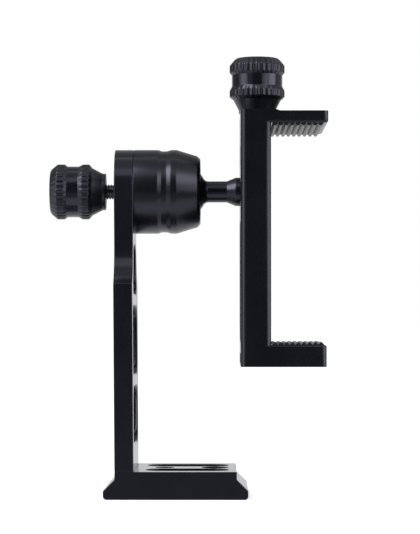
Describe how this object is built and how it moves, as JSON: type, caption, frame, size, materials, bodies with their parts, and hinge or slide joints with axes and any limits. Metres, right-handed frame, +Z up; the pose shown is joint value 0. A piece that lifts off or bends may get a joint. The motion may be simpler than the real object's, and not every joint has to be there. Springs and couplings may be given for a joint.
{
  "type": "tripod phone mount adapter",
  "caption": "Dovetail foot and skeleton upright arm carrying a locking ball joint, whose stud holds a screw-driven phone clamp with ridged jaws.",
  "frame": {"origin": "centre of the dovetail foot's underside", "axes": "+Z up along the arm, +X from the arm to the phone clamp, +Y along the dovetail"},
  "size_m": [0.0741, 0.036, 0.1175],
  "materials": {
    "black_anodised": "bead-blasted and hard anodised black, satin",
    "steel": "turned, bright",
    "brass": "turned",
    "acetal": "turned acetal, matte",
    "rubber": "moulded rubber, matte"
  },
  "bodies": {
    "bracket": {"dovetail_foot": "black_anodised", "upright_arm": "black_anodised", "foot_screws": "steel", "ball_housing": "black_anodised", "lock_bush": "steel"},
    "thrust_pad": {"thrust_disc": "steel"},
    "lock_knob": {"lock_knob": "black_anodised", "lock_screw": "steel"},
    "ball_seat": {"ball_seat": "acetal"},
    "ball_stud": {"ball_stud": "black_anodised"},
    "clamp": {"clamp_body": "black_anodised", "thread_insert": "brass", "lower_pad": "rubber"},
    "jaw": {"upper_jaw": "black_anodised", "upper_pad": "rubber", "guide_rods": "steel", "jaw_washer": "steel"},
    "jaw_knob": {"jaw_knob": "black_anodised", "jaw_screw": "steel", "retaining_clip": "steel"}
  },
  "joints": [
    {"name": "lock_advance", "type": "slide", "parent": "bracket", "child": "thrust_pad", "axis": [-1, 0, 0], "range_m": [0, 0.0007]},
    {"name": "lock_turn", "type": "hinge", "parent": "thrust_pad", "child": "lock_knob", "pos_m": [-0.0107, 0, 0.0815], "axis": [-1, 0, 0], "range_deg": [0, 360]},
    {"name": "ball_pan", "type": "hinge", "parent": "bracket", "child": "ball_seat", "pos_m": [0, 0, 0.0815], "axis": [1, 0, 0], "continuous": true},
    {"name": "ball_tilt", "type": "hinge", "parent": "ball_seat", "child": "ball_stud", "pos_m": [0, 0, 0.0815], "axis": [0, 1, 0], "range_deg": [-30, 30]},
    {"name": "stem_spin", "type": "hinge", "parent": "ball_stud", "child": "clamp", "pos_m": [0.017, 0, 0.0815], "axis": [1, 0, 0], "continuous": true},
    {"name": "jaw_slide", "type": "slide", "parent": "clamp", "child": "jaw", "axis": [0, 0, 1], "range_m": [0, 0.03]},
    {"name": "jaw_turn", "type": "hinge", "parent": "jaw", "child": "jaw_knob", "pos_m": [0.0216, 0, 0.1026], "axis": [0, 0, 1], "range_deg": [0, 15429]}
  ],
  "couplings": [
    {"joint": "lock_turn", "follows": "lock_advance", "rad_per_m": 8976},
    {"joint": "jaw_turn", "follows": "jaw_slide", "rad_per_m": 8976}
  ]
}
